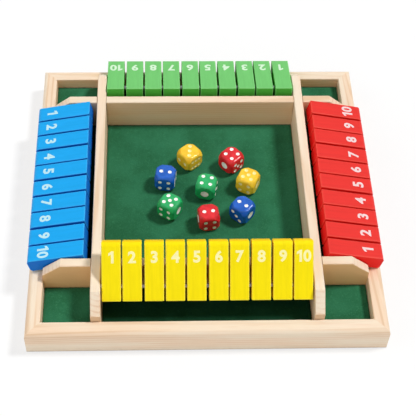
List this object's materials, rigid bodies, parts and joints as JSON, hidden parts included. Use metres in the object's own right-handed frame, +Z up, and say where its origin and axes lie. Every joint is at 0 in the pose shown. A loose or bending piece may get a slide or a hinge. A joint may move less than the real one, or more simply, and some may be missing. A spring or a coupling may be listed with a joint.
{
  "type": "four-player shut the box game",
  "caption": "Square wooden game board with a row of flip-over number tiles on each side, a felt-lined dice tray in the middle and a pocket in each corner.",
  "frame": {"origin": "on the ground under the middle of the board", "axes": "+Z up, +Y from the yellow player's side to the far side, +X to that player's right"},
  "size_m": [0.2208, 0.2204, 0.0515],
  "materials": {
    "pine": "sanded pine under a thin matt varnish",
    "plywood": "plain thin plywood",
    "felt": "short green felt, glued down",
    "steel_rod": "plain drawn steel rod",
    "yellow_tile_paint": "yellow paint over wood, satin",
    "red_tile_paint": "red paint over wood, satin",
    "green_tile_paint": "green paint over wood, satin",
    "blue_tile_paint": "blue paint over wood, satin",
    "yellow_die_plastic": "yellow glossy plastic with white pips",
    "red_die_plastic": "red glossy plastic with white pips",
    "green_die_plastic": "green glossy plastic with white pips",
    "blue_die_plastic": "blue glossy plastic with white pips"
  },
  "bodies": {
    "board": {"front_rail": "pine", "right_rail": "pine", "back_rail": "pine", "left_rail": "pine", "front_divider": "pine", "right_divider": "pine", "back_divider": "pine", "left_divider": "pine", "base_panel": "plywood", "felt": "felt", "tile_rods": "steel_rod"},
    "yellow_tile_1": {"yellow_tile_1": "yellow_tile_paint"},
    "yellow_tile_2": {"yellow_tile_2": "yellow_tile_paint"},
    "yellow_tile_3": {"yellow_tile_3": "yellow_tile_paint"},
    "yellow_tile_4": {"yellow_tile_4": "yellow_tile_paint"},
    "yellow_tile_5": {"yellow_tile_5": "yellow_tile_paint"},
    "yellow_tile_6": {"yellow_tile_6": "yellow_tile_paint"},
    "yellow_tile_7": {"yellow_tile_7": "yellow_tile_paint"},
    "yellow_tile_8": {"yellow_tile_8": "yellow_tile_paint"},
    "yellow_tile_9": {"yellow_tile_9": "yellow_tile_paint"},
    "yellow_tile_10": {"yellow_tile_10": "yellow_tile_paint"},
    "red_tile_1": {"red_tile_1": "red_tile_paint"},
    "red_tile_2": {"red_tile_2": "red_tile_paint"},
    "red_tile_3": {"red_tile_3": "red_tile_paint"},
    "red_tile_4": {"red_tile_4": "red_tile_paint"},
    "red_tile_5": {"red_tile_5": "red_tile_paint"},
    "red_tile_6": {"red_tile_6": "red_tile_paint"},
    "red_tile_7": {"red_tile_7": "red_tile_paint"},
    "red_tile_8": {"red_tile_8": "red_tile_paint"},
    "red_tile_9": {"red_tile_9": "red_tile_paint"},
    "red_tile_10": {"red_tile_10": "red_tile_paint"},
    "green_tile_1": {"green_tile_1": "green_tile_paint"},
    "green_tile_2": {"green_tile_2": "green_tile_paint"},
    "green_tile_3": {"green_tile_3": "green_tile_paint"},
    "green_tile_4": {"green_tile_4": "green_tile_paint"},
    "green_tile_5": {"green_tile_5": "green_tile_paint"},
    "green_tile_6": {"green_tile_6": "green_tile_paint"},
    "green_tile_7": {"green_tile_7": "green_tile_paint"},
    "green_tile_8": {"green_tile_8": "green_tile_paint"},
    "green_tile_9": {"green_tile_9": "green_tile_paint"},
    "green_tile_10": {"green_tile_10": "green_tile_paint"},
    "blue_tile_1": {"blue_tile_1": "blue_tile_paint"},
    "blue_tile_2": {"blue_tile_2": "blue_tile_paint"},
    "blue_tile_3": {"blue_tile_3": "blue_tile_paint"},
    "blue_tile_4": {"blue_tile_4": "blue_tile_paint"},
    "blue_tile_5": {"blue_tile_5": "blue_tile_paint"},
    "blue_tile_6": {"blue_tile_6": "blue_tile_paint"},
    "blue_tile_7": {"blue_tile_7": "blue_tile_paint"},
    "blue_tile_8": {"blue_tile_8": "blue_tile_paint"},
    "blue_tile_9": {"blue_tile_9": "blue_tile_paint"},
    "blue_tile_10": {"blue_tile_10": "blue_tile_paint"},
    "yellow_die_1": {"yellow_die_1": "yellow_die_plastic"},
    "yellow_die_2": {"yellow_die_2": "yellow_die_plastic"},
    "red_die_1": {"red_die_1": "red_die_plastic"},
    "red_die_2": {"red_die_2": "red_die_plastic"},
    "green_die_1": {"green_die_1": "green_die_plastic"},
    "green_die_2": {"green_die_2": "green_die_plastic"},
    "blue_die_1": {"blue_die_1": "blue_die_plastic"},
    "blue_die_2": {"blue_die_2": "blue_die_plastic"}
  },
  "joints": [
    {"name": "yellow_tile_1_flip", "type": "hinge", "parent": "board", "child": "yellow_tile_1", "pos_m": [0, -0.0825, 0.0297], "axis": [1, 0, 0], "range_deg": [0, 147.9]},
    {"name": "yellow_tile_2_flip", "type": "hinge", "parent": "board", "child": "yellow_tile_2", "pos_m": [0, -0.0825, 0.0297], "axis": [1, 0, 0], "range_deg": [0, 147.9]},
    {"name": "yellow_tile_3_flip", "type": "hinge", "parent": "board", "child": "yellow_tile_3", "pos_m": [0, -0.0825, 0.0297], "axis": [1, 0, 0], "range_deg": [0, 147.9]},
    {"name": "yellow_tile_4_flip", "type": "hinge", "parent": "board", "child": "yellow_tile_4", "pos_m": [0, -0.0825, 0.0297], "axis": [1, 0, 0], "range_deg": [0, 147.9]},
    {"name": "yellow_tile_5_flip", "type": "hinge", "parent": "board", "child": "yellow_tile_5", "pos_m": [0, -0.0825, 0.0297], "axis": [1, 0, 0], "range_deg": [0, 147.9]},
    {"name": "yellow_tile_6_flip", "type": "hinge", "parent": "board", "child": "yellow_tile_6", "pos_m": [0, -0.0825, 0.0297], "axis": [1, 0, 0], "range_deg": [0, 147.9]},
    {"name": "yellow_tile_7_flip", "type": "hinge", "parent": "board", "child": "yellow_tile_7", "pos_m": [0, -0.0825, 0.0297], "axis": [1, 0, 0], "range_deg": [0, 147.9]},
    {"name": "yellow_tile_8_flip", "type": "hinge", "parent": "board", "child": "yellow_tile_8", "pos_m": [0, -0.0825, 0.0297], "axis": [1, 0, 0], "range_deg": [0, 147.9]},
    {"name": "yellow_tile_9_flip", "type": "hinge", "parent": "board", "child": "yellow_tile_9", "pos_m": [0, -0.0825, 0.0297], "axis": [1, 0, 0], "range_deg": [0, 147.9]},
    {"name": "yellow_tile_10_flip", "type": "hinge", "parent": "board", "child": "yellow_tile_10", "pos_m": [0, -0.0825, 0.0297], "axis": [1, 0, 0], "range_deg": [0, 147.9]},
    {"name": "red_tile_1_flip", "type": "hinge", "parent": "board", "child": "red_tile_1", "pos_m": [0.0825, 0, 0.0297], "axis": [0, -1, 0], "range_deg": [0, 132]},
    {"name": "red_tile_2_flip", "type": "hinge", "parent": "board", "child": "red_tile_2", "pos_m": [0.0825, 0, 0.0297], "axis": [0, -1, 0], "range_deg": [0, 147.9]},
    {"name": "red_tile_3_flip", "type": "hinge", "parent": "board", "child": "red_tile_3", "pos_m": [0.0825, 0, 0.0297], "axis": [0, -1, 0], "range_deg": [0, 147.9]},
    {"name": "red_tile_4_flip", "type": "hinge", "parent": "board", "child": "red_tile_4", "pos_m": [0.0825, 0, 0.0297], "axis": [0, -1, 0], "range_deg": [0, 147.9]},
    {"name": "red_tile_5_flip", "type": "hinge", "parent": "board", "child": "red_tile_5", "pos_m": [0.0825, 0, 0.0297], "axis": [0, -1, 0], "range_deg": [0, 147.9]},
    {"name": "red_tile_6_flip", "type": "hinge", "parent": "board", "child": "red_tile_6", "pos_m": [0.0825, 0, 0.0297], "axis": [0, -1, 0], "range_deg": [0, 147.9]},
    {"name": "red_tile_7_flip", "type": "hinge", "parent": "board", "child": "red_tile_7", "pos_m": [0.0825, 0, 0.0297], "axis": [0, -1, 0], "range_deg": [0, 147.9]},
    {"name": "red_tile_8_flip", "type": "hinge", "parent": "board", "child": "red_tile_8", "pos_m": [0.0825, 0, 0.0297], "axis": [0, -1, 0], "range_deg": [0, 147.9]},
    {"name": "red_tile_9_flip", "type": "hinge", "parent": "board", "child": "red_tile_9", "pos_m": [0.0825, 0, 0.0297], "axis": [0, -1, 0], "range_deg": [0, 147.9]},
    {"name": "red_tile_10_flip", "type": "hinge", "parent": "board", "child": "red_tile_10", "pos_m": [0.0825, 0, 0.0297], "axis": [0, -1, 0], "range_deg": [0, 132]},
    {"name": "green_tile_1_flip", "type": "hinge", "parent": "board", "child": "green_tile_1", "pos_m": [0, 0.0825, 0.0297], "axis": [1, 0, 0], "range_deg": [0, 147.9]},
    {"name": "green_tile_2_flip", "type": "hinge", "parent": "board", "child": "green_tile_2", "pos_m": [0, 0.0825, 0.0297], "axis": [1, 0, 0], "range_deg": [0, 147.9]},
    {"name": "green_tile_3_flip", "type": "hinge", "parent": "board", "child": "green_tile_3", "pos_m": [0, 0.0825, 0.0297], "axis": [1, 0, 0], "range_deg": [0, 147.9]},
    {"name": "green_tile_4_flip", "type": "hinge", "parent": "board", "child": "green_tile_4", "pos_m": [0, 0.0825, 0.0297], "axis": [1, 0, 0], "range_deg": [0, 147.9]},
    {"name": "green_tile_5_flip", "type": "hinge", "parent": "board", "child": "green_tile_5", "pos_m": [0, 0.0825, 0.0297], "axis": [1, 0, 0], "range_deg": [0, 147.9]},
    {"name": "green_tile_6_flip", "type": "hinge", "parent": "board", "child": "green_tile_6", "pos_m": [0, 0.0825, 0.0297], "axis": [1, 0, 0], "range_deg": [0, 147.9]},
    {"name": "green_tile_7_flip", "type": "hinge", "parent": "board", "child": "green_tile_7", "pos_m": [0, 0.0825, 0.0297], "axis": [1, 0, 0], "range_deg": [0, 147.9]},
    {"name": "green_tile_8_flip", "type": "hinge", "parent": "board", "child": "green_tile_8", "pos_m": [0, 0.0825, 0.0297], "axis": [1, 0, 0], "range_deg": [0, 147.9]},
    {"name": "green_tile_9_flip", "type": "hinge", "parent": "board", "child": "green_tile_9", "pos_m": [0, 0.0825, 0.0297], "axis": [1, 0, 0], "range_deg": [0, 147.9]},
    {"name": "green_tile_10_flip", "type": "hinge", "parent": "board", "child": "green_tile_10", "pos_m": [0, 0.0825, 0.0297], "axis": [1, 0, 0], "range_deg": [0, 147.9]},
    {"name": "blue_tile_1_flip", "type": "hinge", "parent": "board", "child": "blue_tile_1", "pos_m": [-0.0825, 0, 0.0297], "axis": [0, 1, 0], "range_deg": [0, 132]},
    {"name": "blue_tile_2_flip", "type": "hinge", "parent": "board", "child": "blue_tile_2", "pos_m": [-0.0825, 0, 0.0297], "axis": [0, 1, 0], "range_deg": [0, 147.9]},
    {"name": "blue_tile_3_flip", "type": "hinge", "parent": "board", "child": "blue_tile_3", "pos_m": [-0.0825, 0, 0.0297], "axis": [0, 1, 0], "range_deg": [0, 147.9]},
    {"name": "blue_tile_4_flip", "type": "hinge", "parent": "board", "child": "blue_tile_4", "pos_m": [-0.0825, 0, 0.0297], "axis": [0, 1, 0], "range_deg": [0, 147.9]},
    {"name": "blue_tile_5_flip", "type": "hinge", "parent": "board", "child": "blue_tile_5", "pos_m": [-0.0825, 0, 0.0297], "axis": [0, 1, 0], "range_deg": [0, 147.9]},
    {"name": "blue_tile_6_flip", "type": "hinge", "parent": "board", "child": "blue_tile_6", "pos_m": [-0.0825, 0, 0.0297], "axis": [0, 1, 0], "range_deg": [0, 147.9]},
    {"name": "blue_tile_7_flip", "type": "hinge", "parent": "board", "child": "blue_tile_7", "pos_m": [-0.0825, 0, 0.0297], "axis": [0, 1, 0], "range_deg": [0, 147.9]},
    {"name": "blue_tile_8_flip", "type": "hinge", "parent": "board", "child": "blue_tile_8", "pos_m": [-0.0825, 0, 0.0297], "axis": [0, 1, 0], "range_deg": [0, 147.9]},
    {"name": "blue_tile_9_flip", "type": "hinge", "parent": "board", "child": "blue_tile_9", "pos_m": [-0.0825, 0, 0.0297], "axis": [0, 1, 0], "range_deg": [0, 147.9]},
    {"name": "blue_tile_10_flip", "type": "hinge", "parent": "board", "child": "blue_tile_10", "pos_m": [-0.0825, 0, 0.0297], "axis": [0, 1, 0], "range_deg": [0, 132]},
    {"name": "yellow_die_1_lift", "type": "slide", "parent": "board", "child": "yellow_die_1", "axis": [0, 0, 1], "range_m": [0, 0.03]},
    {"name": "yellow_die_2_lift", "type": "slide", "parent": "board", "child": "yellow_die_2", "axis": [0, 0, 1], "range_m": [0, 0.03]},
    {"name": "red_die_1_lift", "type": "slide", "parent": "board", "child": "red_die_1", "axis": [0, 0, 1], "range_m": [0, 0.03]},
    {"name": "red_die_2_lift", "type": "slide", "parent": "board", "child": "red_die_2", "axis": [0, 0, 1], "range_m": [0, 0.03]},
    {"name": "green_die_1_lift", "type": "slide", "parent": "board", "child": "green_die_1", "axis": [0, 0, 1], "range_m": [0, 0.03]},
    {"name": "green_die_2_lift", "type": "slide", "parent": "board", "child": "green_die_2", "axis": [0, 0, 1], "range_m": [0, 0.03]},
    {"name": "blue_die_1_lift", "type": "slide", "parent": "board", "child": "blue_die_1", "axis": [0, 0, 1], "range_m": [0, 0.03]},
    {"name": "blue_die_2_lift", "type": "slide", "parent": "board", "child": "blue_die_2", "axis": [0, 0, 1], "range_m": [0, 0.03]}
  ]
}
